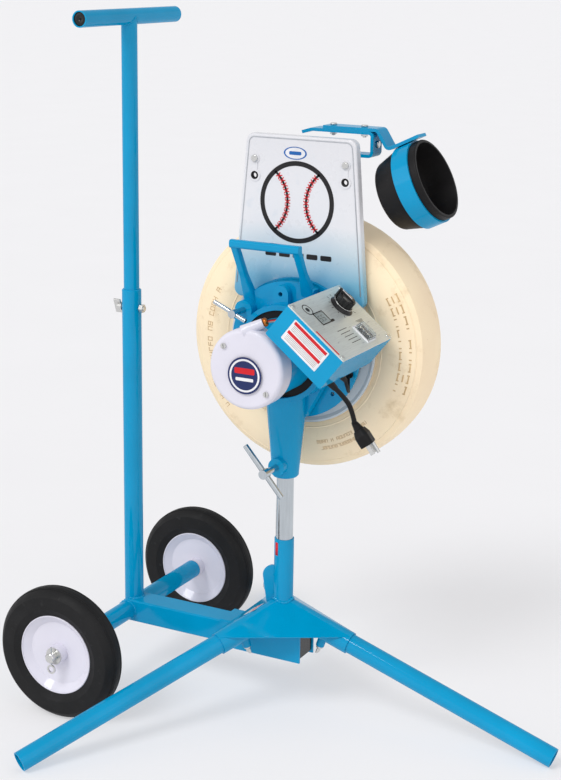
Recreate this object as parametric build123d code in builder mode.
from build123d import *
import os
from math import atan, cos, degrees, pi, radians, sin, sqrt, tan

# Single-wheel ball pitching machine on a three-legged stand with a two-wheeled cart.
# Frame, in millimetres: +Z up from the floor, +Y the way the ball is thrown, +X to the
# right of the operator, who stands at -Y. The origin is on the floor under the middle
# of the whole machine, so the stand's vertical pole stands at POLE_Y.

os.makedirs("parts", exist_ok=True)

# ---------------------------------------------------------------- driving dimensions
POLE_Y = 38.0
TUBE_R = 31.75 / 2
TUBE_WALL = 2.0
SLIDE_GAP = 0.05

# three-legged stand
LEG_TILT = 18.2
LEG_REACH = 469.0
LEG_AZIMUTHS = {"front": 270.0, "left": 150.0, "rear": 30.0}
APEX_Z = LEG_REACH * tan(radians(LEG_TILT)) + TUBE_R * cos(radians(LEG_TILT))
SOCKET_WALL = 2.2
SOCKET_R = TUBE_R + SLIDE_GAP + SOCKET_WALL
SOCKET_REACH = 122.0
LEG_START_REACH = 38.0
SCREW_REACH = 78.0
STAND_TOP_Z = 287.0
POLE_R = 14.0
POLE_BOTTOM_Z = 137.0
POLE_TOP_Z = 500.0

# hitch channel under the stand and the cart that slides into it
HITCH_WIDTH = 52.0
HITCH_WALL = 3.0
HITCH_TOP_Z = 133.0
HITCH_BOTTOM_Z = 86.0
HITCH_FRONT = -44.0
HITCH_REAR = 104.0
BEAM_WIDTH = 44.45
BEAM_HEIGHT = 38.1
BEAM_WALL = 2.5
AXLE_Y = POLE_Y + 287.3
AXLE_Z = 110.0
AXLE_TUBE_HALF = 195.4
AXLE_R = 7.9
TRACK_HALF = 217.7
TYRE_R = 110.0
TYRE_BEAD_R = 66.0
TYRE_HALF_WIDTH = 22.0
RIM_HALF = 16.0
RIM_WALL = 2.5
CART_HUB_R = 15.0
CART_HUB_HALF = 20.0
MAST_COLLAR_Z = 665.0
MAST_BOLT_Z = 634.0
MAST_UPPER_R = 25.4 / 2
MAST_UPPER_BOTTOM_Z = 505.0
TEE_Z = 1098.0
TEE_HALF = 137.0

# head: everything is placed from the drive wheel's axis
WHEEL_Y = POLE_Y
WHEEL_Z = 597.0
WHEEL_X = 100.0
WHEEL_R = 205.0
WHEEL_HALF = 51.0
TREAD_HALF = 37.0
RIM_FLANGE_R = 127.0
RIM_SEAT_HALF = 38.0
SHAFT_R = 9.5
DISC_R = 112.0
DISC_X = (24.0, 31.0)
SADDLE_R = 69.0
RING_R = 77.0
RING_X = (-25.0, 22.0)
MOTOR_R = 57.0
MOTOR_X = (-112.0, 22.0)
CAP_R = 62.0
CAP_X = (-138.0, -106.0)
CLAMP_Z = 415.0
CLAMP_BAR_X = -70.0
TILT_LOCK = (72.0, 60.0)
PLATE_X = (31.0, 45.0)
PLATE_TOP_Z = 928.0
PLATE_BOTTOM_Z = 668.0
PLATE_TOP_HALF = 93.5
PLATE_BOTTOM_HALF = 115.0
PLATE_SKIN = 3.0
BALL_GAP = 66.0

# control box, a prism whose panel slopes down towards the operator
BOX_X = (-151.0, 20.0)
BOX_CORNER = (-40.0, 63.5)
BOX_DEPTH = 60.0
BOX_WIDTH = 116.0
BOX_SLOPE = 38.5
BOX_WALL = 2.0

HEAD = Plane(origin=(0, WHEEL_Y, WHEEL_Z), x_dir=(0, 1, 0), z_dir=(1, 0, 0))
WHEEL_AXIS = Axis((0, WHEEL_Y, WHEEL_Z), (1, 0, 0))
POLE_AXIS = Axis((0, POLE_Y, 0), (0, 0, 1))


def keep(name, piece):
    piece.part.label = name
    export_step(piece.part, f"parts/{name}.step")


def section_plane(x, y, z):
    """Plane with local x along +X and local y along +Z, through the given point."""
    return Plane(origin=(x, y, z), x_dir=(1, 0, 0), z_dir=(0, -1, 0))


def leg_plane(azimuth):
    """Plane square to a leg, at the point where the three leg axes meet."""
    across = (-sin(radians(azimuth)), cos(radians(azimuth)), 0)
    level = cos(radians(LEG_TILT))
    along = (level * cos(radians(azimuth)), level * sin(radians(azimuth)), -sin(radians(LEG_TILT)))
    return Plane(origin=(0, POLE_Y, APEX_Z), x_dir=across, z_dir=along)


def along_leg(reach):
    """Distance down a leg's axis for a level distance from the pole."""
    return reach / cos(radians(LEG_TILT))


# ---------------------------------------------------------------- stand
with BuildPart() as socket_tube:
    with BuildSketch(Plane.XY.offset(HITCH_TOP_Z)):
        with Locations((0, POLE_Y)):
            Circle(TUBE_R)
            Circle(POLE_R + SLIDE_GAP, mode=Mode.SUBTRACT)
    extrude(amount=STAND_TOP_Z - HITCH_TOP_Z)
    with BuildSketch(Plane.XY.offset(HITCH_TOP_Z)):
        with Locations((0, POLE_Y)):
            Circle(TUBE_R)
    extrude(amount=POLE_BOTTOM_Z - HITCH_TOP_Z - 0.3)
keep("socket_tube", socket_tube)

# Each hub plate lies on a plane that touches the two leg sockets beside it.
PLATE_PITCH = degrees(atan(tan(radians(LEG_TILT)) / cos(radians(60))))
PLATE_THICK = 2.2


def hub_plate_plane(azimuth):
    pitch = radians(PLATE_PITCH)
    heading = radians(azimuth)
    normal = (sin(pitch) * cos(heading), sin(pitch) * sin(heading), cos(pitch))
    down = (cos(pitch) * cos(heading), cos(pitch) * sin(heading), -sin(pitch))
    origin = (normal[0] * SOCKET_R, POLE_Y + normal[1] * SOCKET_R, APEX_Z + normal[2] * SOCKET_R)
    return Plane(origin=origin, x_dir=down, z_dir=normal)


def hub_plate_corner(reach):
    down = reach * cos(radians(60)) / cos(radians(PLATE_PITCH))
    across = reach * sin(radians(60))
    return down, across


BOSS_R = 7.0
BOSS_DROP = 13.0
SCREW_R = 3.0

with BuildPart() as hub_shell:
    for azimuth in LEG_AZIMUTHS.values():
        with BuildSketch(leg_plane(azimuth).offset(along_leg(8.0))):
            Circle(SOCKET_R)
        extrude(amount=along_leg(SOCKET_REACH - 8.0))
        with BuildSketch(Plane(leg_plane(azimuth).offset(along_leg(SCREW_REACH)).origin,
                               x_dir=leg_plane(azimuth).x_dir,
                               z_dir=leg_plane(azimuth).y_dir)):
            Circle(BOSS_R)
        extrude(amount=-(SOCKET_R + BOSS_DROP))
    top = hub_plate_corner(10.0)
    end = hub_plate_corner(SOCKET_REACH)
    for azimuth in LEG_AZIMUTHS.values():
        with BuildSketch(hub_plate_plane(azimuth + 60)):
            Polygon((top[0], top[1]), (end[0], end[1]), (end[0], -end[1]), (top[0], -top[1]), align=None)
        extrude(amount=-PLATE_THICK)
    with BuildSketch(Plane.YZ.offset(-2.5)):
        with BuildLine():
            Polyline((POLE_Y + 12, 165), (POLE_Y + 12, 236), (POLE_Y + 22, 236))
            ThreePointArc((POLE_Y + 22, 236), (POLE_Y + 33, 229), (POLE_Y + 37, 216))
            Polyline((POLE_Y + 37, 216), (POLE_Y + 30, 172), (POLE_Y + 12, 165))
        make_face()
    extrude(amount=5.0)
    for azimuth in LEG_AZIMUTHS.values():
        with BuildSketch(leg_plane(azimuth).offset(along_leg(14.0))):
            Circle(TUBE_R + SLIDE_GAP)
        extrude(amount=along_leg(SOCKET_REACH), mode=Mode.SUBTRACT)
    with BuildSketch(Plane.XY.offset(HITCH_TOP_Z)):
        with Locations((0, POLE_Y)):
            Circle(TUBE_R)
    extrude(amount=STAND_TOP_Z - HITCH_TOP_Z, mode=Mode.SUBTRACT)
    for azimuth in LEG_AZIMUTHS.values():
        screw_plane = Plane(leg_plane(azimuth).offset(along_leg(SCREW_REACH)).origin,
                            x_dir=leg_plane(azimuth).x_dir,
                            z_dir=leg_plane(azimuth).y_dir)
        with BuildSketch(screw_plane):
            Circle(SCREW_R + SLIDE_GAP)
        extrude(amount=-2 * (SOCKET_R + BOSS_DROP), mode=Mode.SUBTRACT)
keep("hub_shell", hub_shell)

for side, azimuth in LEG_AZIMUTHS.items():
    with BuildPart() as leg:
        with BuildSketch(leg_plane(azimuth).offset(along_leg(LEG_START_REACH))):
            Circle(TUBE_R)
            Circle(TUBE_R - TUBE_WALL, mode=Mode.SUBTRACT)
        extrude(amount=along_leg(LEG_REACH - LEG_START_REACH))
    keep(f"leg_{side}", leg)

# Thumbscrew under each socket: threaded shank, collar and a flat two-lobed head.
for side, azimuth in LEG_AZIMUTHS.items():
    base = leg_plane(azimuth)
    centre = base.offset(along_leg(SCREW_REACH)).origin
    down = base.y_dir * -1
    with BuildPart() as thumbscrew:
        with BuildSketch(Plane(centre + down * (TUBE_R + 0.3), x_dir=base.x_dir, z_dir=down)):
            Circle(SCREW_R)
        extrude(amount=24.0)
        with BuildSketch(Plane(centre + down * (SOCKET_R + BOSS_DROP + 0.6), x_dir=base.x_dir, z_dir=down)):
            Circle(5.5)
        extrude(amount=3.0)
        with BuildSketch(Plane(centre + down * (SOCKET_R + BOSS_DROP + 3.6), x_dir=base.x_dir, z_dir=down)):
            SlotCenterToCenter(9.0, 4.0)
        extrude(amount=9.0)
    keep(f"leg_screw_{side}", thumbscrew)

with BuildPart() as hitch_channel:
    with BuildSketch(Plane.XZ.offset(-(POLE_Y + HITCH_REAR))):
        with Locations((0, (HITCH_TOP_Z + HITCH_BOTTOM_Z) / 2)):
            Rectangle(HITCH_WIDTH, HITCH_TOP_Z - HITCH_BOTTOM_Z)
        with Locations((0, (HITCH_TOP_Z + HITCH_BOTTOM_Z) / 2 - HITCH_WALL)):
            Rectangle(HITCH_WIDTH - 2 * HITCH_WALL, HITCH_TOP_Z - HITCH_BOTTOM_Z, mode=Mode.SUBTRACT)
    extrude(amount=HITCH_REAR - HITCH_FRONT)
    fillet(hitch_channel.edges().filter_by(Axis.Y).group_by(Axis.Z)[-1], 2.0)
keep("hitch_channel", hitch_channel)

# ---------------------------------------------------------------- pole and its head clamp
with BuildPart() as pole:
    with BuildSketch(Plane.XY.offset(POLE_BOTTOM_Z)):
        with Locations((0, POLE_Y)):
            Circle(POLE_R)
            Circle(POLE_R - 2.5, mode=Mode.SUBTRACT)
    extrude(amount=POLE_TOP_Z - POLE_BOTTOM_Z)
keep("pole", pole)

# ---------------------------------------------------------------- cart
with BuildPart() as cart_beam:
    with BuildSketch(Plane.XZ.offset(-AXLE_Y)):
        with Locations((0, AXLE_Z)):
            RectangleRounded(BEAM_WIDTH, BEAM_HEIGHT, 3.0)
            RectangleRounded(BEAM_WIDTH - 2 * BEAM_WALL, BEAM_HEIGHT - 2 * BEAM_WALL, 1.0, mode=Mode.SUBTRACT)
    extrude(amount=AXLE_Y - POLE_Y - HITCH_FRONT - 4.0)
    with BuildSketch(Plane.YZ.offset(-TEE_HALF)):
        with Locations((AXLE_Y, AXLE_Z)):
            Circle(TUBE_R)
    extrude(amount=2 * TEE_HALF, mode=Mode.SUBTRACT)
cart_beam_piece = cart_beam.part.solids().sort_by(SortBy.VOLUME)[-1]
with BuildPart() as cart_beam:
    add(cart_beam_piece)
keep("cart_beam", cart_beam)

with BuildPart() as axle_tube:
    with BuildSketch(Plane.YZ.offset(-AXLE_TUBE_HALF)):
        with Locations((AXLE_Y, AXLE_Z)):
            Circle(TUBE_R)
            Circle(AXLE_R, mode=Mode.SUBTRACT)
    extrude(amount=2 * AXLE_TUBE_HALF)
keep("axle_tube", axle_tube)

AXLE_ROD_HALF = TRACK_HALF + CART_HUB_HALF + 14.0
CLIP_X = TRACK_HALF + CART_HUB_HALF + 8.0
CLIP_WIRE = 1.3

with BuildPart() as axle_rod:
    with BuildSketch(Plane.YZ.offset(-AXLE_ROD_HALF)):
        with Locations((AXLE_Y, AXLE_Z)):
            Circle(AXLE_R)
    extrude(amount=2 * AXLE_ROD_HALF)
    chamfer(axle_rod.edges().filter_by(GeomType.CIRCLE), 1.0)
    with BuildSketch(Plane.XY.offset(AXLE_Z - 2 * AXLE_R)):
        with Locations((CLIP_X, AXLE_Y), (-CLIP_X, AXLE_Y)):
            Circle(CLIP_WIRE + 0.1)
    extrude(amount=4 * AXLE_R, mode=Mode.SUBTRACT)
keep("axle_rod", axle_rod)

# A zinc washer on each side of each wheel, and a hairpin clip outside it.
with BuildPart() as axle_clips:
    for side in (-1, 1):
        for x in (TRACK_HALF - CART_HUB_HALF - 1.2, TRACK_HALF + CART_HUB_HALF + 1.2):
            with BuildSketch(Plane.YZ.offset(side * x - 0.8)):
                with Locations((AXLE_Y, AXLE_Z)):
                    Circle(14.0 if x > TRACK_HALF else TUBE_R)
                    Circle(AXLE_R + SLIDE_GAP, mode=Mode.SUBTRACT)
            extrude(amount=1.6)
        with BuildSketch(Plane.XY.offset(AXLE_Z - 14.0)):
            with Locations((side * CLIP_X, AXLE_Y)):
                Circle(CLIP_WIRE)
        extrude(amount=32.0)
        with BuildSketch(Plane.YZ.offset(side * CLIP_X)):
            with Locations((AXLE_Y, AXLE_Z - 20.0)):
                Circle(7.6)
                Circle(5.0, mode=Mode.SUBTRACT)
        extrude(amount=CLIP_WIRE, both=True)
keep("axle_clips", axle_clips)


def cart_wheel(side, x):
    axis = Axis((x, AXLE_Y, AXLE_Z), (1, 0, 0))
    with BuildPart() as tyre:
        with BuildSketch(section_plane(x, AXLE_Y, AXLE_Z)):
            with BuildLine():
                Polyline((-RIM_HALF, TYRE_BEAD_R), (-TYRE_HALF_WIDTH, TYRE_BEAD_R + 12),
                         (-TYRE_HALF_WIDTH, TYRE_R - 12))
                ThreePointArc((-TYRE_HALF_WIDTH, TYRE_R - 12), (0, TYRE_R), (TYRE_HALF_WIDTH, TYRE_R - 12))
                Polyline((TYRE_HALF_WIDTH, TYRE_R - 12), (TYRE_HALF_WIDTH, TYRE_BEAD_R + 12),
                         (RIM_HALF, TYRE_BEAD_R), (-RIM_HALF, TYRE_BEAD_R))
            make_face()
            with Locations((0, (TYRE_R + TYRE_BEAD_R) / 2 + 1)):
                Circle(14.0, mode=Mode.SUBTRACT)
        revolve(axis=axis)
    keep(f"cart_tyre_{side}", tyre)
    with BuildPart() as rim:
        with BuildSketch(section_plane(x, AXLE_Y, AXLE_Z)):
            with BuildLine():
                Polyline((-CART_HUB_HALF, AXLE_R + SLIDE_GAP), (CART_HUB_HALF, AXLE_R + SLIDE_GAP),
                         (CART_HUB_HALF, CART_HUB_R), (4, CART_HUB_R), (7, TYRE_BEAD_R - 14),
                         (RIM_HALF, TYRE_BEAD_R - RIM_WALL), (RIM_HALF, TYRE_BEAD_R),
                         (-RIM_HALF, TYRE_BEAD_R), (-RIM_HALF, TYRE_BEAD_R - RIM_WALL),
                         (-7, TYRE_BEAD_R - 14), (-4, CART_HUB_R), (-CART_HUB_HALF, CART_HUB_R), close=True)
            make_face()
            with BuildLine():
                Polyline((-1.5, CART_HUB_R + 3), (1.5, CART_HUB_R + 3), (4.5, TYRE_BEAD_R - 16),
                         (12, TYRE_BEAD_R - 4), (-12, TYRE_BEAD_R - 4), (-4.5, TYRE_BEAD_R - 16), close=True)
            make_face(mode=Mode.SUBTRACT)
        revolve(axis=axis)
    keep(f"cart_rim_{side}", rim)


cart_wheel("left", -TRACK_HALF)
cart_wheel("right", TRACK_HALF)

with BuildPart() as mast_lower:
    with BuildSketch(Plane.XY.offset(AXLE_Z)):
        with Locations((0, AXLE_Y)):
            Circle(TUBE_R)
            Circle(MAST_UPPER_R + SLIDE_GAP, mode=Mode.SUBTRACT)
    extrude(amount=MAST_COLLAR_Z - AXLE_Z)
    chamfer(mast_lower.edges().group_by(Axis.Z)[-1].sort_by(SortBy.RADIUS)[-1], 1.6)
    with BuildSketch(Plane.YZ.offset(-TEE_HALF)):
        with Locations((AXLE_Y, AXLE_Z)):
            Circle(TUBE_R)
    extrude(amount=2 * TEE_HALF, mode=Mode.SUBTRACT)
    with BuildSketch(Plane.XZ.offset(-AXLE_Y)):
        with Locations((0, AXLE_Z)):
            Rectangle(BEAM_WIDTH, BEAM_HEIGHT)
    extrude(amount=2 * TUBE_R, mode=Mode.SUBTRACT)
    with BuildSketch(Plane.XZ.offset(-AXLE_Y)):
        with Locations((0, MAST_BOLT_Z)):
            Circle(4.0 + SLIDE_GAP)
    extrude(amount=2 * TUBE_R, both=True, mode=Mode.SUBTRACT)
keep("mast_lower", mast_lower)

with BuildPart() as mast_upper:
    with BuildSketch(Plane.XY.offset(MAST_UPPER_BOTTOM_Z)):
        with Locations((0, AXLE_Y)):
            Circle(MAST_UPPER_R)
            Circle(MAST_UPPER_R - TUBE_WALL, mode=Mode.SUBTRACT)
    extrude(amount=TEE_Z - MAST_UPPER_BOTTOM_Z)
    with BuildSketch(Plane.YZ.offset(-TEE_HALF)):
        with Locations((AXLE_Y, TEE_Z)):
            Circle(MAST_UPPER_R)
    extrude(amount=2 * TEE_HALF, mode=Mode.SUBTRACT)
keep("mast_upper", mast_upper)

with BuildPart() as tee_handle:
    with BuildSketch(Plane.YZ.offset(-TEE_HALF)):
        with Locations((AXLE_Y, TEE_Z)):
            Circle(MAST_UPPER_R)
            Circle(MAST_UPPER_R - TUBE_WALL, mode=Mode.SUBTRACT)
    extrude(amount=2 * TEE_HALF)
keep("tee_handle", tee_handle)

# The lower tube is clamped on the upper one by a hex screw in front and a wing screw behind.
MAST_FRONT = Plane.XZ.offset(-(AXLE_Y - MAST_UPPER_R - 0.3))
MAST_REAR = Plane(origin=(0, AXLE_Y + MAST_UPPER_R + 0.3, 0), x_dir=(-1, 0, 0), z_dir=(0, 1, 0))

with BuildPart() as mast_hex_screw:
    with BuildSketch(MAST_FRONT):
        with Locations((0, MAST_BOLT_Z)):
            Circle(4.0)
    extrude(amount=12.0)
    with BuildSketch(MAST_FRONT.offset(3.6)):
        with Locations((0, MAST_BOLT_Z)):
            RegularPolygon(7.2, 6)
            Circle(4.0, mode=Mode.SUBTRACT)
    extrude(amount=6.4)
keep("mast_hex_screw", mast_hex_screw)

with BuildPart() as mast_wing_screw:
    with BuildSketch(MAST_REAR):
        with Locations((0, MAST_BOLT_Z)):
            Circle(4.0)
    extrude(amount=10.0)
    with BuildSketch(MAST_REAR.offset(4.0)):
        with Locations((0, MAST_BOLT_Z)):
            Circle(7.0)
    extrude(amount=8.0)
    with BuildSketch(MAST_REAR.offset(7.0)):
        with Locations((0, MAST_BOLT_Z)):
            SlotCenterToCenter(22.0, 3.4, rotation=70)
    extrude(amount=12.0)
keep("mast_wing_screw", mast_wing_screw)

# ---------------------------------------------------------------- yoke casting
BORE_TOP_Z = POLE_TOP_Z + 0.3
COLUMN_BOTTOM_Z = 393.0
LUG_Y = 9.0
LUG_Z = 91.0
ARCH_X = (4.0, 22.0)
ARCH_R = 109.0
CLAMP_BOSS_R = 14.0
CLAMP_BOSS_X = -33.0
LOCK_BOSS_R = 15.0
LOCK_BOSS_X = -14.0
LOCK_SCREW_R = 5.0
BOX_CLEARANCE_R = 74.0
BAIL_BAR = 12.0
# (y, z, x) from the wheel's centre: where the bail's legs leave the arch, and its top corners
BAIL_FEET = ((70.0, 72.0, 10.0), (-30.0, 92.0, 10.0))
BAIL_KNEES = ((82.0, 166.0, -26.0), (-26.0, 166.0, -26.0))

with BuildPart() as yoke_casting:
    with BuildSketch(section_plane(0, POLE_Y, 0)):
        with BuildLine():
            Polyline((0, WHEEL_Z - 40), (0, COLUMN_BOTTOM_Z), (19.5, COLUMN_BOTTOM_Z),
                     (21.5, COLUMN_BOTTOM_Z + 2.5), (26, 450), (29, 480), (32, 515), (33, 557),
                     (0, WHEEL_Z - 40))
        make_face()
    revolve(axis=POLE_AXIS)
    with BuildSketch(HEAD.offset(RING_X[0])):
        Circle(RING_R)
    extrude(amount=RING_X[1] - RING_X[0])
    # raised arch behind the ring, with the lug, the tilt lock's ear and the bail handle on it
    with BuildSketch(HEAD.offset(ARCH_X[0])):
        with BuildLine():
            arc = CenterArc((0, 0), ARCH_R, 22, 91)
            Line(arc @ 1, (0, 0))
            Line((0, 0), arc @ 0)
        make_face()
    extrude(amount=ARCH_X[1] - ARCH_X[0])
    # skirt that joins the column to the lower half of the ring
    with BuildSketch(HEAD.offset(ARCH_X[0])):
        with BuildLine():
            Polyline((-30, -105), (30, -105), (66, -40), (0, 0), (-66, -40), (-30, -105))
        make_face()
    extrude(amount=ARCH_X[1] - ARCH_X[0])
    with BuildSketch(HEAD.offset(-10.0)):
        with Locations((LUG_Y, LUG_Z)):
            Circle(13.5)
        with Locations((LUG_Y, LUG_Z / 2 + 20)):
            Rectangle(27.0, LUG_Z - 40)
    extrude(amount=14.0)
    with BuildSketch(HEAD.offset(LOCK_BOSS_X)):
        with Locations(TILT_LOCK):
            Circle(LOCK_BOSS_R)
    extrude(amount=ARCH_X[1] - LOCK_BOSS_X)
    with BuildSketch(HEAD.offset(CLAMP_BOSS_X)):
        with Locations((0, CLAMP_Z - WHEEL_Z)):
            Circle(CLAMP_BOSS_R)
    extrude(amount=-CLAMP_BOSS_X)
    for foot, knee in zip(BAIL_FEET, BAIL_KNEES):
        leg_line = Vector(*knee) - Vector(*foot)
        foot_plane = Plane(HEAD.from_local_coords(Vector(*foot)), x_dir=(0, 1, 0),
                           z_dir=HEAD.from_local_coords(Vector(*knee)) - HEAD.from_local_coords(Vector(*foot)))
        with BuildSketch(foot_plane):
            RectangleRounded(22.0, 15.0, 4.0)
        with BuildSketch(foot_plane.offset(leg_line.length * 0.45)):
            RectangleRounded(BAIL_BAR, BAIL_BAR, 3.0)
        loft()
        with BuildSketch(foot_plane.offset(leg_line.length * 0.45)):
            RectangleRounded(BAIL_BAR, BAIL_BAR, 3.0)
        extrude(amount=leg_line.length * 0.55)
    with BuildSketch(section_plane(BAIL_KNEES[0][2], WHEEL_Y + BAIL_KNEES[0][0] + BAIL_BAR / 2,
                                   WHEEL_Z + BAIL_KNEES[0][1])):
        RectangleRounded(BAIL_BAR + 1, BAIL_BAR + 1, 4.0)
    extrude(amount=BAIL_KNEES[0][0] - BAIL_KNEES[1][0] + BAIL_BAR)
    # the ring is turned down where the control box swings past it
    with BuildSketch(HEAD.offset(RING_X[0] - 1)):
        with BuildLine():
            swept = CenterArc((0, 0), RING_R + 2, 117, 75)
            Line(swept @ 1, (0, 0))
            Line((0, 0), swept @ 0)
        make_face()
        Circle(BOX_CLEARANCE_R, mode=Mode.SUBTRACT)
    extrude(amount=ARCH_X[0] - RING_X[0] + 30, mode=Mode.SUBTRACT)
    # bores: saddle for the motor, pole, lug hole and the two screws
    with BuildSketch(HEAD.offset(-40.0)):
        Circle(SADDLE_R + SLIDE_GAP)
    extrude(amount=80.0, mode=Mode.SUBTRACT)
    with BuildSketch(Plane.XY.offset(COLUMN_BOTTOM_Z - 1)):
        with Locations((0, POLE_Y)):
            Circle(POLE_R + SLIDE_GAP)
    extrude(amount=BORE_TOP_Z - COLUMN_BOTTOM_Z + 1, mode=Mode.SUBTRACT)
    with BuildSketch(HEAD.offset(-20.0)):
        with Locations((LUG_Y, LUG_Z)):
            Circle(3.6)
    extrude(amount=60.0, mode=Mode.SUBTRACT)
    with BuildSketch(HEAD.offset(LOCK_BOSS_X - 1)):
        with Locations(TILT_LOCK):
            Circle(LOCK_SCREW_R + SLIDE_GAP)
    extrude(amount=60.0, mode=Mode.SUBTRACT)
    with BuildSketch(HEAD.offset(CLAMP_BOSS_X - 1)):
        with Locations((0, CLAMP_Z - WHEEL_Z)):
            Circle(LOCK_SCREW_R + SLIDE_GAP)
    extrude(amount=-CLAMP_BOSS_X, mode=Mode.SUBTRACT)
    # the column is cut flat behind, clear of the tilting disc
    with BuildSketch(HEAD.offset(ARCH_X[1])):
        with Locations((0, -20)):
            Rectangle(4 * ARCH_R, 2 * ARCH_R - 20)
    extrude(amount=30.0, mode=Mode.SUBTRACT)
keep("yoke_casting", yoke_casting)

# ---------------------------------------------------------------- clamp screws with sliding T-bars
def tee_screw(name, centre, tip_x, head_x, bar_r):
    """Screw along X from its tip to a round head that a T-bar passes through."""
    slope = TEE_SLOPES[name]
    bar_axis = (0, cos(radians(slope)), sin(radians(slope)))
    bar_centre = (head_x, WHEEL_Y + centre[0], WHEEL_Z + centre[1])
    with BuildPart() as screw:
        with BuildSketch(HEAD.offset(head_x)):
            with Locations(centre):
                Circle(LOCK_SCREW_R)
        extrude(amount=tip_x - head_x)
        with BuildSketch(HEAD.offset(head_x - bar_r - 3)):
            with Locations(centre):
                Circle(bar_r + 3)
        extrude(amount=2 * bar_r + 6)
        with BuildSketch(Plane(bar_centre, x_dir=(1, 0, 0), z_dir=bar_axis)):
            Circle(bar_r + 0.02)
        extrude(amount=40, both=True, mode=Mode.SUBTRACT)
    keep(f"{name}_screw", screw)


TEE_SLOPES = {"clamp": 49.0, "tilt": 24.0}
TILT_BAR_X = -45.0
# the tilt lock is drawn loosened, its tip this far from the disc it presses on
LOCK_BACKED_OFF = 3.5


def tee_bar(name, centre, head_x, bar_r, reach_up, reach_down):
    slope = radians(TEE_SLOPES[name])
    start = (head_x, WHEEL_Y + centre[0] - reach_down * cos(slope), WHEEL_Z + centre[1] - reach_down * sin(slope))
    with BuildPart() as bar:
        with BuildSketch(Plane(start, x_dir=(1, 0, 0), z_dir=(0, cos(slope), sin(slope)))):
            Circle(bar_r)
        extrude(amount=reach_up + reach_down)
        chamfer(bar.edges().filter_by(GeomType.CIRCLE), 0.8)
    keep(f"{name}_bar", bar)


tee_screw("clamp", (0, CLAMP_Z - WHEEL_Z), -(POLE_R + 0.3), CLAMP_BAR_X, 4.5)
tee_bar("clamp", (0, CLAMP_Z - WHEEL_Z), CLAMP_BAR_X, 4.5, 54.0, 46.0)
tee_screw("tilt", TILT_LOCK, DISC_X[0] - LOCK_BACKED_OFF, TILT_BAR_X, 3.6)
tee_bar("tilt", TILT_LOCK, TILT_BAR_X, 3.6, 38.0, 24.0)

# ---------------------------------------------------------------- tilting head: disc and motor
# (y, z) from the wheel's centre of the motor lead's grommet, and the bolts that hold the plate
GROMMET = (-97.0, -30.0)
GROMMET_R = 5.0
PLATE_BOLTS_R = 90.0
BOX_SPACERS = ((-68.0, 66.7), (-85.3, 40.2))
BOLT_R = 3.0
BOLT_HOLE_R = 3.1

with BuildPart() as head_plate:
    with BuildSketch(HEAD.offset(DISC_X[0])):
        Circle(DISC_R)
        Circle(SHAFT_R + 10, mode=Mode.SUBTRACT)
        with Locations((-68, -66)):
            Circle(3.6, mode=Mode.SUBTRACT)
        with Locations(GROMMET):
            Circle(GROMMET_R, mode=Mode.SUBTRACT)
        with PolarLocations(PLATE_BOLTS_R, 2, 70, 40):
            Circle(BOLT_HOLE_R, mode=Mode.SUBTRACT)
    extrude(amount=DISC_X[1] - DISC_X[0])
    with BuildSketch(HEAD.offset(RING_X[0] + 7)):
        Circle(SADDLE_R)
        Circle(MOTOR_R + 0.5, mode=Mode.SUBTRACT)
    extrude(amount=DISC_X[0] - RING_X[0] - 7)
    with BuildSketch(HEAD.offset(BOX_X[1])):
        with Locations(*BOX_SPACERS):
            Circle(6.0)
    extrude(amount=DISC_X[0] - BOX_X[1])
keep("head_plate", head_plate)

with BuildPart() as motor_seal:
    with BuildSketch(HEAD.offset(RING_X[0] + 3)):
        Circle(SADDLE_R - 0.5)
        Circle(MOTOR_R, mode=Mode.SUBTRACT)
    extrude(amount=4.0)
keep("motor_seal", motor_seal)

MOTOR_WALL = 5.0
MOTOR_END = 8.0
BEARING_R = 17.0

with BuildPart() as motor_shell:
    with BuildSketch(HEAD.offset(MOTOR_X[0])):
        Circle(MOTOR_R)
    extrude(amount=DISC_X[0] - MOTOR_X[0])
    with BuildSketch(HEAD.offset(MOTOR_X[0] + MOTOR_END)):
        Circle(MOTOR_R - MOTOR_WALL)
    extrude(amount=DISC_X[0] - MOTOR_X[0] - 2 * MOTOR_END, mode=Mode.SUBTRACT)
    with BuildSketch(HEAD.offset(MOTOR_X[0] - 1)):
        Circle(BEARING_R)
    extrude(amount=DISC_X[0] - MOTOR_X[0] + 2, mode=Mode.SUBTRACT)
keep("motor_shell", motor_shell)

with BuildPart() as motor_bearings:
    for x in (MOTOR_X[0], DISC_X[0] - MOTOR_END):
        with BuildSketch(HEAD.offset(x)):
            Circle(BEARING_R)
            Circle(SHAFT_R + SLIDE_GAP, mode=Mode.SUBTRACT)
        extrude(amount=MOTOR_END)
keep("motor_bearings", motor_bearings)

with BuildPart() as motor_magnets:
    with BuildSketch(HEAD.offset(-84.0)):
        Circle(MOTOR_R - MOTOR_WALL)
        Circle(MOTOR_R - MOTOR_WALL - 11, mode=Mode.SUBTRACT)
        Rectangle(30, 2 * MOTOR_R, mode=Mode.SUBTRACT)
    extrude(amount=84.0)
keep("motor_magnets", motor_magnets)

with BuildPart() as armature:
    with BuildSketch(HEAD.offset(-80.0)):
        Circle(38.0)
        with PolarLocations(38.0, 14):
            Rectangle(9.0, 2.4, mode=Mode.SUBTRACT)
        Circle(SHAFT_R, mode=Mode.SUBTRACT)
    extrude(amount=78.0)
    with BuildSketch(HEAD.offset(-98.0)):
        Circle(20.0)
        Circle(SHAFT_R, mode=Mode.SUBTRACT)
    extrude(amount=18.0)
keep("armature", armature)

with BuildPart() as drive_shaft:
    with BuildSketch(HEAD.offset(MOTOR_X[0] + 1)):
        Circle(SHAFT_R)
    extrude(amount=WHEEL_X + 40 - MOTOR_X[0])
    chamfer(drive_shaft.edges().filter_by(GeomType.CIRCLE), 1.0)
keep("drive_shaft", drive_shaft)

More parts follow.
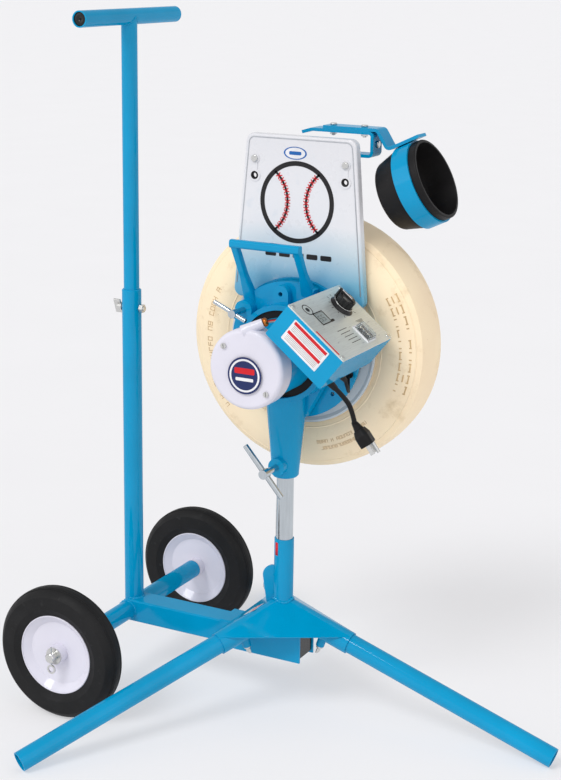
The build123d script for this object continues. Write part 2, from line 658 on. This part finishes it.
# White cap over the motor's end, with a spout that leads the wires towards the control box.
CAP_WALL = 2.5
CAP_ROUND = 7.0
CAP_HOLLOW = 25.5
CAP_SCREW_HOLE_R = 2.2
CAP_SCREWS_R = 49.0
CAP_SCREWS_ANGLE = 42.0
# (y, z, x) from the wheel's centre of the spout's ends
SPOUT_ROOT = Vector(8.0, 56.0, -132.0)
SPOUT_TIP = Vector(-19.0, 70.0, -118.0)
SPOUT_LENGTH = (SPOUT_TIP - SPOUT_ROOT).length
SPOUT_R = 8.0
SPOUT_BORE_R = 5.0

with BuildPart() as motor_cap:
    with BuildSketch(HEAD.offset(CAP_X[0])):
        Circle(CAP_R)
    extrude(amount=CAP_X[1] - CAP_X[0])
    fillet(motor_cap.edges().group_by(Axis.X)[0], CAP_ROUND)
    spout_root = HEAD.from_local_coords(SPOUT_ROOT)
    spout_tip = HEAD.from_local_coords(SPOUT_TIP)
    spout = Plane(spout_tip, z_dir=spout_tip - spout_root)
    with BuildSketch(spout.offset(-SPOUT_LENGTH)):
        Circle(SPOUT_R + 2)
    with BuildSketch(spout):
        Circle(SPOUT_R - 0.5)
    loft()
    with BuildSketch(HEAD.offset(CAP_X[0] + CAP_WALL)):
        Circle(CAP_R - CAP_WALL - 5)
    extrude(amount=CAP_HOLLOW, mode=Mode.SUBTRACT)
    with BuildSketch(HEAD.offset(MOTOR_X[0])):
        Circle(MOTOR_R)
    extrude(amount=20, mode=Mode.SUBTRACT)
    with BuildSketch(spout.offset(1)):
        Circle(SPOUT_BORE_R)
    extrude(amount=-SPOUT_LENGTH + 4, mode=Mode.SUBTRACT)
    with BuildSketch(HEAD.offset(CAP_X[0] - 1)):
        with PolarLocations(CAP_SCREWS_R, 2, CAP_SCREWS_ANGLE):
            Circle(CAP_SCREW_HOLE_R)
    extrude(amount=6, mode=Mode.SUBTRACT)
keep("motor_cap", motor_cap)

# ---------------------------------------------------------------- drive wheel
with BuildPart() as drive_rim:
    with BuildSketch(section_plane(WHEEL_X, WHEEL_Y, WHEEL_Z)):
        with BuildLine():
            Polyline((-RIM_SEAT_HALF - 3, 101), (-RIM_SEAT_HALF - 5, 108), (-RIM_SEAT_HALF - 5.5, 121),
                     (-RIM_SEAT_HALF - 9, RIM_FLANGE_R), (-RIM_SEAT_HALF - 12, RIM_FLANGE_R),
                     (-RIM_SEAT_HALF - 12, RIM_FLANGE_R - 3), (-RIM_SEAT_HALF - 8.5, 119),
                     (-RIM_SEAT_HALF - 8, 106), (-RIM_SEAT_HALF - 5, 98), (-16, 92), (16, 92),
                     (RIM_SEAT_HALF + 5, 98), (RIM_SEAT_HALF + 8, 106), (RIM_SEAT_HALF + 8.5, 119),
                     (RIM_SEAT_HALF + 12, RIM_FLANGE_R - 3), (RIM_SEAT_HALF + 12, RIM_FLANGE_R),
                     (RIM_SEAT_HALF + 9, RIM_FLANGE_R), (RIM_SEAT_HALF + 5.5, 121),
                     (RIM_SEAT_HALF + 5, 108), (RIM_SEAT_HALF + 3, 101), (16, 95.5), (-16, 95.5), close=True)
        make_face()
        with BuildLine():
            Polyline((-32, SHAFT_R), (32, SHAFT_R), (32, 24), (4, 30), (10, 60), (2, 93), (-2, 93),
                     (6, 60), (0, 34), (-32, 24), close=True)
        make_face()
    revolve(axis=WHEEL_AXIS)
    with BuildSketch(HEAD.offset(WHEEL_X - 10)):
        with PolarLocations(76.0, 4, 45):
            Circle(9.0)
    extrude(amount=40, mode=Mode.SUBTRACT)
keep("drive_rim", drive_rim)

TYRE_WALL = 7.0

with BuildPart() as drive_tyre:
    with BuildSketch(section_plane(WHEEL_X, WHEEL_Y, WHEEL_Z)):
        with BuildLine():
            left = ThreePointArc((-RIM_SEAT_HALF - 4.5, 128), (-WHEEL_HALF, 160), (-TREAD_HALF, WHEEL_R - 3))
            crown = ThreePointArc(left @ 1, (0, WHEEL_R), (TREAD_HALF, WHEEL_R - 3))
            right = ThreePointArc(crown @ 1, (WHEEL_HALF, 160), (RIM_SEAT_HALF + 4.5, 128))
            Polyline(right @ 1, (RIM_SEAT_HALF + 4, 109), (RIM_SEAT_HALF - 4, 106), (RIM_SEAT_HALF - 4, 128))
            inner_right = ThreePointArc((RIM_SEAT_HALF - 4, 128), (WHEEL_HALF - TYRE_WALL, 160),
                                        (TREAD_HALF - 7, WHEEL_R - 13))
            inner_left = ThreePointArc(inner_right @ 1, (0, WHEEL_R - 11), (7 - TREAD_HALF, WHEEL_R - 13))
            inner_bead = ThreePointArc(inner_left @ 1, (TYRE_WALL - WHEEL_HALF, 160), (4 - RIM_SEAT_HALF, 128))
            Polyline(inner_bead @ 1, (4 - RIM_SEAT_HALF, 106), (-RIM_SEAT_HALF - 4, 109), left @ 0)
        make_face()
    revolve(axis=WHEEL_AXIS)
keep("drive_tyre", drive_tyre)

HUB_NUT_X = WHEEL_X + 32

with BuildPart() as hub_nut:
    with BuildSketch(HEAD.offset(HUB_NUT_X)):
        RegularPolygon(15.0, 6)
        Circle(SHAFT_R, mode=Mode.SUBTRACT)
    extrude(amount=8.0)
keep("hub_nut", hub_nut)

# ---------------------------------------------------------------- side plate and pressure shoe
PLATE_BOLTS_Y = 78.0
PLATE_BOLTS_Z = 889.0 - WHEEL_Z
PLATE_HOLE_DROP = 26.0
SHOE_R = WHEEL_R + BALL_GAP
SHOE_X = (68.0, 132.0)
SHOE_THICK = 18.0
BACKING_X = (PLATE_X[0] + PLATE_SKIN, 136.0)
BACKING_THICK = 4.0


def plate_outline(inset):
    top = PLATE_TOP_Z - WHEEL_Z - inset
    bottom = PLATE_BOTTOM_Z - WHEEL_Z + inset
    Polygon((-PLATE_TOP_HALF + inset, top), (PLATE_TOP_HALF - inset, top),
            (PLATE_BOTTOM_HALF - inset, bottom), (-PLATE_BOTTOM_HALF + inset, bottom), align=None)


with BuildPart() as side_plate:
    with BuildSketch(HEAD.offset(PLATE_X[0])) as outer:
        plate_outline(0)
        fillet(outer.vertices(), 13.0)
    extrude(amount=PLATE_X[1] - PLATE_X[0])
    fillet(side_plate.edges().group_by(Axis.X)[0], 3.5)
    with BuildSketch(HEAD.offset(PLATE_X[0] + PLATE_SKIN)) as inner:
        plate_outline(PLATE_SKIN)
        fillet(inner.vertices(), 10.0)
    extrude(amount=PLATE_X[1] - PLATE_X[0], mode=Mode.SUBTRACT)
    with BuildSketch(HEAD.offset(PLATE_X[0])):
        for side in (-1, 1):
            with Locations((side * PLATE_BOLTS_Y, PLATE_BOLTS_Z)):
                Circle(8.0)
            with Locations((side * PLATE_BOLTS_Y, PLATE_BOLTS_Z - PLATE_HOLE_DROP / 2)):
                Rectangle(9.0, PLATE_HOLE_DROP)
            with Locations((side * PLATE_BOLTS_Y, PLATE_BOLTS_Z - PLATE_HOLE_DROP)):
                Circle(9.5)
    extrude(amount=-1.2)
    with BuildSketch(HEAD.offset(PLATE_X[0] - 5)):
        for side in (-1, 1):
            with Locations((side * PLATE_BOLTS_Y, PLATE_BOLTS_Z)):
                Circle(BOLT_HOLE_R)
            with Locations((side * PLATE_BOLTS_Y, PLATE_BOLTS_Z - PLATE_HOLE_DROP)):
                Circle(3.8)
        with PolarLocations(PLATE_BOLTS_R, 2, 70, 40):
            Circle(BOLT_HOLE_R)
    extrude(amount=20, mode=Mode.SUBTRACT)
keep("side_plate", side_plate)

with BuildPart() as shoe_backing:
    with BuildSketch(HEAD.offset(BACKING_X[0])):
        with Locations((0, PLATE_BOLTS_Z)):
            Rectangle(2 * PLATE_BOLTS_Y + 18, 20.0)
        with Locations((0, PLATE_BOLTS_Z)):
            with GridLocations(2 * PLATE_BOLTS_Y, 0, 2, 1):
                Circle(BOLT_HOLE_R, mode=Mode.SUBTRACT)
    extrude(amount=BACKING_THICK)
    with BuildSketch(HEAD.offset(BACKING_X[0])):
        with BuildLine():
            outer = CenterArc((0, 0), SHOE_R + SHOE_THICK + BACKING_THICK, 72, 27)
            inner = CenterArc((0, 0), SHOE_R + SHOE_THICK, 72, 27)
            Line(outer @ 0, inner @ 0)
            Line(outer @ 1, inner @ 1)
        make_face()
    extrude(amount=BACKING_X[1] - BACKING_X[0])
keep("shoe_backing", shoe_backing)

with BuildPart() as shoe_pad:
    with BuildSketch(HEAD.offset(SHOE_X[0])):
        with BuildLine():
            outer = CenterArc((0, 0), SHOE_R + SHOE_THICK, 73, 25)
            inner = CenterArc((0, 0), SHOE_R, 73, 25)
            Line(outer @ 0, inner @ 0)
            Line(outer @ 1, inner @ 1)
        make_face()
    extrude(amount=SHOE_X[1] - SHOE_X[0])
    fillet(shoe_pad.edges().filter_by(Axis.X), 3.0)
keep("shoe_pad", shoe_pad)

# ---------------------------------------------------------------- feed chute and its straps
STRAP_X = (84.0, 116.0)
STRAP_THICK = 5.0
CHUTE_TILT = 25.7
CHUTE_R = 63.5
CHUTE_LENGTH = 80.0
CHUTE_MOUTH = (100.0, -198.6, 870.8)
CHUTE_RING = (-40.0, -12.0)
CHUTE_RING_R = 66.5
CHUTE = Plane(origin=(CHUTE_MOUTH[0], POLE_Y + CHUTE_MOUTH[1], CHUTE_MOUTH[2]), x_dir=(1, 0, 0),
              z_dir=(0, -cos(radians(CHUTE_TILT)), sin(radians(CHUTE_TILT))))
CHUTE_SECTION = Plane(CHUTE.origin, x_dir=CHUTE.z_dir, z_dir=(-1, 0, 0))


def chute_point(along, out):
    """(y, z) from the wheel's centre of a point beside the chute's axis, above it by out."""
    y = CHUTE_MOUTH[1] - along * cos(radians(CHUTE_TILT)) + out * sin(radians(CHUTE_TILT))
    z = CHUTE_MOUTH[2] - WHEEL_Z + along * sin(radians(CHUTE_TILT)) + out * cos(radians(CHUTE_TILT))
    return y, z


STRAP_TOP_Z = 933.5 - WHEEL_Z
STRAP_UNDER_Z = 898.0 - WHEEL_Z
STRAP_BOLTS_Y = (-23.0, -76.0)
STRAP_END_BOLT = (STRAP_TOP_Z + STRAP_UNDER_Z) / 2
STRAP_HOLES = Plane(origin=(0, WHEEL_Y, WHEEL_Z + STRAP_TOP_Z - 10))
STRAP_END = Plane(origin=(0, WHEEL_Y - 96 - STRAP_THICK / 2, WHEEL_Z), x_dir=(1, 0, 0), z_dir=(0, -1, 0))

with BuildPart() as chute_base:
    with BuildSketch(HEAD.offset(STRAP_X[0])):
        with BuildLine() as strap_line:
            FilletPolyline((24, STRAP_TOP_Z - 5), (8, STRAP_TOP_Z), (-96, STRAP_TOP_Z), (-96, STRAP_UNDER_Z),
                           (-30, STRAP_UNDER_Z), radius=6.0)
        trace(line_width=STRAP_THICK)
        with BuildLine():
            Polyline((-58, STRAP_UNDER_Z), (-30, STRAP_UNDER_Z), (-30, 294), (-44, 291), close=True)
        make_face()
    extrude(amount=STRAP_X[1] - STRAP_X[0])
    with BuildSketch(HEAD.offset(BACKING_X[0])):
        with BuildLine():
            outer = CenterArc((0, 0), SHOE_R + SHOE_THICK + BACKING_THICK, 60, 60)
            Line(outer @ 1, (0, 0))
            Line((0, 0), outer @ 0)
        make_face()
    extrude(amount=BACKING_X[1] - BACKING_X[0] + 20, mode=Mode.SUBTRACT)
    with BuildSketch(STRAP_HOLES):
        for y in STRAP_BOLTS_Y:
            with Locations((CHUTE_MOUTH[0], y)):
                Circle(BOLT_HOLE_R)
    extrude(amount=30, mode=Mode.SUBTRACT)
    with BuildSketch(STRAP_END):
        with Locations((CHUTE_MOUTH[0], STRAP_END_BOLT)):
            Circle(BOLT_HOLE_R)
    extrude(amount=-20, mode=Mode.SUBTRACT)
keep("chute_base", chute_base)

ARM_BEND = chute_point(-52.0, CHUTE_RING_R + STRAP_THICK / 2)
ARM_END = chute_point(3.0, CHUTE_RING_R + STRAP_THICK / 2)

with BuildPart() as chute_arm:
    with BuildSketch(HEAD.offset(STRAP_X[0])):
        with BuildLine():
            FilletPolyline((-12, STRAP_TOP_Z + STRAP_THICK), (-104, STRAP_TOP_Z + STRAP_THICK), ARM_BEND, ARM_END,
                           radius=7.0)
        trace(line_width=STRAP_THICK)
    extrude(amount=STRAP_X[1] - STRAP_X[0])
    with BuildSketch(CHUTE):
        Circle(CHUTE_RING_R)
    extrude(amount=CHUTE_RING[0] - 30, mode=Mode.SUBTRACT)
    with BuildSketch(STRAP_HOLES):
        for y in STRAP_BOLTS_Y:
            with Locations((CHUTE_MOUTH[0], y)):
                Circle(BOLT_HOLE_R)
    extrude(amount=30, mode=Mode.SUBTRACT)
keep("chute_arm", chute_arm)

with BuildPart() as chute_ring:
    with BuildSketch(CHUTE.offset(CHUTE_RING[0])):
        Circle(CHUTE_RING_R)
        Circle(CHUTE_R, mode=Mode.SUBTRACT)
    extrude(amount=CHUTE_RING[1] - CHUTE_RING[0])
keep("chute_ring", chute_ring)

with BuildPart() as chute_cup:
    with BuildSketch(CHUTE_SECTION):
        with BuildLine():
            Polyline((0, CHUTE_R - 5), (0, CHUTE_R - 2))
            ThreePointArc((0, CHUTE_R - 2), (-0.6, CHUTE_R - 0.6), (-2, CHUTE_R))
            Polyline((-2, CHUTE_R), (CHUTE_RING[0] - 4, CHUTE_R), (-CHUTE_LENGTH + 8, CHUTE_R - 8))
            ThreePointArc((-CHUTE_LENGTH + 8, CHUTE_R - 8), (-CHUTE_LENGTH + 2, CHUTE_R - 11.5),
                          (-CHUTE_LENGTH, CHUTE_R - 17))
            Polyline((-CHUTE_LENGTH, CHUTE_R - 17), (-CHUTE_LENGTH, CHUTE_R - 20), (-44, CHUTE_R - 8),
                     (0, CHUTE_R - 5))
        make_face()
    revolve(axis=Axis(CHUTE.origin, CHUTE.z_dir))
keep("chute_cup", chute_cup)

# Bolts of the plate, the disc and the straps: button head, shank and nut.
STRAP_BOLT_TOP = Plane(origin=(CHUTE_MOUTH[0], 0, WHEEL_Z + STRAP_TOP_Z + 1.5 * STRAP_THICK),
                       x_dir=(1, 0, 0), z_dir=(0, 0, -1))
BOLT_PLACES = []
for side in (-1, 1):
    BOLT_PLACES.append((HEAD.offset(PLATE_X[0] - 1.2), (side * PLATE_BOLTS_Y, PLATE_BOLTS_Z), 8.2))
for y in STRAP_BOLTS_Y:
    BOLT_PLACES.append((STRAP_BOLT_TOP, (0, -(WHEEL_Y + y)), 2 * STRAP_THICK))
BOLT_PLACES.append((Plane(STRAP_END.origin, x_dir=(1, 0, 0), z_dir=(0, 1, 0)),
                    (CHUTE_MOUTH[0], -STRAP_END_BOLT), STRAP_THICK))

with BuildPart() as bracket_bolts:
    for place, point, grip in BOLT_PLACES:
        with BuildSketch(place):
            with Locations(point):
                Circle(5.5)
        extrude(amount=-3.0)
        with BuildSketch(place):
            with Locations(point):
                Circle(BOLT_R)
        extrude(amount=grip + 6.0)
        with BuildSketch(place.offset(grip)):
            with Locations(point):
                RegularPolygon(5.5, 6)
        extrude(amount=4.5)
    fillet(bracket_bolts.edges().filter_by(GeomType.CIRCLE).filter_by(lambda e: e.radius > 5.4), 1.2)
    with BuildSketch(HEAD.offset(DISC_X[0] + 0.5)):
        with PolarLocations(PLATE_BOLTS_R, 2, 70, 40):
            Circle(BOLT_R)
    extrude(amount=16.0)
    with BuildSketch(HEAD.offset(PLATE_X[0] + PLATE_SKIN)):
        with PolarLocations(PLATE_BOLTS_R, 2, 70, 40):
            RegularPolygon(5.5, 6)
    extrude(amount=4.5)
keep("bracket_bolts", bracket_bolts)

# ---------------------------------------------------------------- control box on the tilting head
# Local x runs along the wheel's axis from the pole, local y up the slope, and the panel
# is BOX_DEPTH along the normal. down(s) is a place s down the slope from the upper edge.
BOX = Plane(origin=(0, WHEEL_Y + BOX_CORNER[0], WHEEL_Z + BOX_CORNER[1]), x_dir=(1, 0, 0),
            z_dir=(0, -sin(radians(BOX_SLOPE)), cos(radians(BOX_SLOPE))))
BOX_LENGTH = BOX_X[1] - BOX_X[0]
BOX_MID = (BOX_X[0] + BOX_X[1]) / 2
PANEL_THICK = 2.0
KNOB_AT = (-28.7, 35.0)
KNOB_SHAFT_R = 3.0
DISPLAY_AT = (-102.0, 40.0)
DISPLAY_SIZE = (26.0, 20.0)
SWITCH_AT = (-38.0, 90.0)
ROCKER_SIZE = (13.0, 21.0)
COVER_SIZE = (25.0, 30.0)
RELIEF_X = (-104.0, -62.0)
RELIEF_DROP = 107.0
RELIEF_BORE_R = 5.5
RELIEF_NUT = 5.6


def down(x, s):
    return x, -s


with BuildPart() as box_shell:
    with BuildSketch(BOX):
        with Locations(down(BOX_MID, BOX_WIDTH / 2)):
            Rectangle(BOX_LENGTH, BOX_WIDTH)
    extrude(amount=BOX_DEPTH - PANEL_THICK)
    fillet(box_shell.edges().filter_by(Axis.X), 2.5)
    with BuildSketch(BOX.offset(BOX_WALL)):
        with Locations(down(BOX_MID, BOX_WIDTH / 2)):
            Rectangle(BOX_LENGTH - 2 * BOX_WALL, BOX_WIDTH - 2 * BOX_WALL)
    extrude(amount=BOX_DEPTH, mode=Mode.SUBTRACT)
    with BuildSketch(BOX.offset(-1)):
        for x in RELIEF_X:
            with Locations(down(x, RELIEF_DROP)):
                Circle(RELIEF_BORE_R)
    extrude(amount=4, mode=Mode.SUBTRACT)
keep("box_shell", box_shell)

with BuildPart() as box_panel:
    with BuildSketch(BOX.offset(BOX_DEPTH - PANEL_THICK)):
        with Locations(down(BOX_MID, BOX_WIDTH / 2)):
            RectangleRounded(BOX_LENGTH, BOX_WIDTH, 1.5)
        with Locations(down(*KNOB_AT)):
            Circle(KNOB_SHAFT_R + SLIDE_GAP, mode=Mode.SUBTRACT)
        with Locations(down(*DISPLAY_AT)):
            Rectangle(*DISPLAY_SIZE, mode=Mode.SUBTRACT)
        with Locations(down(*SWITCH_AT)):
            Rectangle(ROCKER_SIZE[0] + 1, ROCKER_SIZE[1] + 2, mode=Mode.SUBTRACT)
        with Locations(down(BOX_MID, BOX_WIDTH / 2)):
            with GridLocations(BOX_LENGTH - 12, BOX_WIDTH - 12, 2, 2):
                Circle(1.6, mode=Mode.SUBTRACT)
    extrude(amount=PANEL_THICK)
keep("box_panel", box_panel)

with BuildPart() as display_window:
    with BuildSketch(BOX.offset(BOX_DEPTH - PANEL_THICK - 3)):
        with Locations(down(*DISPLAY_AT)):
            Rectangle(DISPLAY_SIZE[0] + 6, DISPLAY_SIZE[1] + 6)
    extrude(amount=3.0)
    with BuildSketch(BOX.offset(BOX_DEPTH - PANEL_THICK)):
        with Locations(down(*DISPLAY_AT)):
            Rectangle(*DISPLAY_SIZE)
    extrude(amount=1.4)
keep("display_window", display_window)

with BuildPart() as switch_cover:
    with BuildSketch(BOX.offset(BOX_DEPTH)):
        with Locations(down(*SWITCH_AT)):
            RectangleRounded(*COVER_SIZE, 4.0)
    extrude(amount=9.0)
    fillet(switch_cover.faces().filter_by(GeomType.PLANE).sort_by(Axis(BOX.origin, BOX.z_dir))[-1].edges(), 3.0)
    with BuildSketch(BOX.offset(BOX_DEPTH - 1)):
        with Locations(down(*SWITCH_AT)):
            RectangleRounded(COVER_SIZE[0] - 3, COVER_SIZE[1] - 3, 2.5)
    extrude(amount=8.5, mode=Mode.SUBTRACT)
keep("switch_cover", switch_cover)

# The rocker's two faces meet in a shallow valley over its pivot, which lies in the panel; its back is round there.
ROCKER_BACK_R = 6.0
ROCKER_EDGE = 2.5
ROCKER_PLANE = Plane(origin=BOX.offset(BOX_DEPTH).from_local_coords((SWITCH_AT[0], -SWITCH_AT[1], 0)),
                     x_dir=BOX.y_dir, z_dir=(1, 0, 0))

with BuildPart() as rocker_switch:
    with BuildSketch(ROCKER_PLANE.offset(-ROCKER_SIZE[0] / 2)):
        with BuildLine():
            half = ROCKER_SIZE[1] / 2
            swell = sqrt(ROCKER_BACK_R ** 2 - ROCKER_EDGE ** 2)
            top = Polyline((-swell, -ROCKER_EDGE), (-half, -ROCKER_EDGE), (-half, 4.4), (0, 2.2), (half, 4.4),
                           (half, -ROCKER_EDGE), (swell, -ROCKER_EDGE))
            ThreePointArc(top @ 1, (0, -ROCKER_BACK_R), top @ 0)
        make_face()
    extrude(amount=ROCKER_SIZE[0])
    fillet(rocker_switch.edges().filter_by(Axis.X), 0.8)
keep("rocker_switch", rocker_switch)

KNOB = Plane(origin=BOX.offset(BOX_DEPTH).from_local_coords((KNOB_AT[0], -KNOB_AT[1], 0)),
             x_dir=BOX.x_dir, z_dir=BOX.z_dir)

with BuildPart() as speed_knob:
    with BuildSketch(KNOB.offset(0.6)):
        Circle(20.0)
    with BuildSketch(KNOB.offset(5.0)):
        Circle(16.0)
    loft()
    with BuildSketch(KNOB.offset(5.0)):
        Circle(14.0)
    extrude(amount=13.0)
    chamfer(speed_knob.edges().group_by(Axis(KNOB.origin, KNOB.z_dir))[-1], 1.0)
    with BuildSketch(KNOB.offset(5.0)):
        with Locations((0, 4)):
            SlotCenterToCenter(24.0, 7.0, rotation=90)
    extrude(amount=16.0)
    with BuildSketch(KNOB.offset(5.0)):
        with PolarLocations(15.0, 12, 15):
            Circle(2.2)
    extrude(amount=20.0, mode=Mode.SUBTRACT)
    with BuildSketch(KNOB.offset(-22.0)):
        Circle(KNOB_SHAFT_R)
    extrude(amount=24.0)
keep("speed_knob", speed_knob)

# Circuit board under the panel, with the potentiometer, the switch body and a few parts.
BOARD_DEPTH = 26.0

with BuildPart() as control_board:
    with BuildSketch(BOX.offset(BOARD_DEPTH)):
        with Locations(down(BOX_MID, BOX_WIDTH / 2)):
            Rectangle(BOX_LENGTH - 24, BOX_WIDTH - 16)
    extrude(amount=2.0)
    with BuildSketch(BOX.offset(BOARD_DEPTH + 2)):
        with Locations(down(*KNOB_AT)):
            Circle(12.0)
            Circle(KNOB_SHAFT_R + SLIDE_GAP, mode=Mode.SUBTRACT)
        with Locations(down(*SWITCH_AT)):
            Rectangle(ROCKER_SIZE[0] + 2, ROCKER_SIZE[1] + 4)
    extrude(amount=16.0)
    with BuildSketch(BOX.offset(BOARD_DEPTH + 2)):
        with Locations(down(-118, 82)):
            Rectangle(34.0, 30.0)
        with Locations(down(-84, 92)):
            Circle(9.0)
        with Locations(down(-128, 50)):
            Rectangle(12.0, 20.0)
    extrude(amount=18.0)
    with BuildSketch(BOX.offset(BOX_WALL)):
        with Locations(down(BOX_MID, BOX_WIDTH / 2)):
            with GridLocations(BOX_LENGTH - 34, BOX_WIDTH - 26, 2, 2):
                Circle(3.0)
    extrude(amount=BOARD_DEPTH - BOX_WALL)
keep("control_board", control_board)

# Slotted pan-head screws of the box's panel and the motor's cap.
with BuildPart() as case_screws:
    with BuildSketch(BOX.offset(BOX_DEPTH)):
        with Locations(down(BOX_MID, BOX_WIDTH / 2)):
            with GridLocations(BOX_LENGTH - 12, BOX_WIDTH - 12, 2, 2):
                Circle(3.0)
    extrude(amount=1.6)
    with BuildSketch(BOX.offset(BOX_DEPTH - 10)):
        with Locations(down(BOX_MID, BOX_WIDTH / 2)):
            with GridLocations(BOX_LENGTH - 12, BOX_WIDTH - 12, 2, 2):
                Circle(1.5)
    extrude(amount=10.0)
    with BuildSketch(HEAD.offset(CAP_X[0])):
        with PolarLocations(CAP_SCREWS_R, 2, CAP_SCREWS_ANGLE):
            Circle(4.5)
            Rectangle(7.0, 1.2, rotation=40, mode=Mode.SUBTRACT)
    extrude(amount=-2.5)
    with BuildSketch(HEAD.offset(CAP_X[0])):
        with PolarLocations(CAP_SCREWS_R, 2, CAP_SCREWS_ANGLE):
            Circle(2.1)
    extrude(amount=MOTOR_X[0] - CAP_X[0] - 0.2)
keep("case_screws", case_screws)

# ---------------------------------------------------------------- cords
# Power lead: out of the box's underside, down to a three-pin plug that hangs free.
# Points in millimetres from the pole's foot, as hand-laid runs.
POWER_D = 7.6
POWER_ROUTE = ((-92.4, -128.0, 575.8), (-76.0, -138.0, 557.0), (-66.0, -144.0, 538.0), (-62.0, -147.0, 518.0))
MOTOR_D = 5.5
MOTOR_ROUTE = ((-50.4, -124.4, 577.6), (-36.0, -124.0, 556.0), (-4.0, -108.0, 549.0), (19.0, -97.0, 567.0))
BEND_SHARE = 0.45


def from_pole(point):
    return Vector(point[0], point[1] + POLE_Y, point[2])


def bend_radii(points):
    radii = []
    for before, corner, after in zip(points, points[1:], points[2:]):
        into = corner - before
        out = after - corner
        half_turn = radians(into.get_angle(out)) / 2
        radii.append(BEND_SHARE * min(into.length, out.length) / tan(half_turn))
    return radii


def cord(name, route, diameter):
    points = [from_pole(point) for point in route]
    radii = bend_radii(points)
    print(name, "bend radii", [round(radius, 1) for radius in radii], "diameter", diameter)
    with BuildPart() as tube:
        with BuildLine() as path:
            FilletPolyline(*points, radius=radii)
        with BuildSketch(Plane(origin=points[0], z_dir=points[1] - points[0])):
            Circle(diameter / 2)
        sweep(path=path.wires()[0])
    length = path.wires()[0].length
    print(name, "length", round(length, 1), "volume ratio",
          round(tube.part.volume / (length * pi * diameter ** 2 / 4), 4))
    keep(name, tube)


cord("power_lead", POWER_ROUTE, POWER_D)
cord("motor_lead", MOTOR_ROUTE, MOTOR_D)

# Strain reliefs: a flange in the box's wall and a boot that tapers along the cord.
with BuildPart() as strain_reliefs:
    for x, route, diameter in ((RELIEF_X[0], POWER_ROUTE, POWER_D), (RELIEF_X[1], MOTOR_ROUTE, MOTOR_D)):
        root = BOX.from_local_coords((x, -RELIEF_DROP, -RELIEF_NUT + 0.2))
        tip = from_pole(route[0])
        with BuildSketch(BOX.offset(-RELIEF_NUT)):
            with Locations(down(x, RELIEF_DROP)):
                RegularPolygon(9.0, 6)
        extrude(amount=RELIEF_NUT)
        with BuildSketch(BOX):
            with Locations(down(x, RELIEF_DROP)):
                Circle(RELIEF_BORE_R)
        extrude(amount=6.0)
        with BuildSketch(Plane(origin=root, z_dir=tip - root)):
            Circle(6.2)
        with BuildSketch(Plane(origin=tip, z_dir=from_pole(route[1]) - tip)):
            Circle(diameter / 2 + 0.8)
        loft()
keep("strain_reliefs", strain_reliefs)

with BuildPart() as lead_grommet:
    with BuildSketch(HEAD.offset(DISC_X[0] - 5)):
        with Locations(GROMMET):
            Circle(GROMMET_R + 1.5)
    extrude(amount=5.0)
    with BuildSketch(HEAD.offset(DISC_X[0])):
        with Locations(GROMMET):
            Circle(GROMMET_R)
    extrude(amount=DISC_X[1] - DISC_X[0])
keep("lead_grommet", lead_grommet)

PLUG_TOP = from_pole(POWER_ROUTE[-1])
PLUG = Plane(origin=PLUG_TOP, x_dir=(0.97, 0.2, 0), z_dir=(0.09, -0.57, -0.816))

with BuildPart() as power_plug:
    with BuildSketch(Plane(origin=PLUG_TOP, z_dir=PLUG_TOP - from_pole(POWER_ROUTE[-2]))):
        Circle(5.0)
    with BuildSketch(PLUG.offset(14.0)):
        Circle(8.0)
    loft()
    with BuildSketch(PLUG.offset(13.0)):
        RectangleRounded(20.0, 17.0, 6.0)
    with BuildSketch(PLUG.offset(22.0)):
        RectangleRounded(28.0, 22.0, 8.0)
    loft()
    with BuildSketch(PLUG.offset(22.0)):
        RectangleRounded(28.0, 22.0, 8.0)
    extrude(amount=17.0)
    with BuildSketch(PLUG.offset(39.0)):
        with GridLocations(12.7, 0, 2, 1):
            Rectangle(1.5, 6.4)
    extrude(amount=16.0)
    with BuildSketch(PLUG.offset(39.0)):
        with Locations((0, 8.0)):
            Circle(2.4)
    extrude(amount=18.0)
keep("power_plug", power_plug)
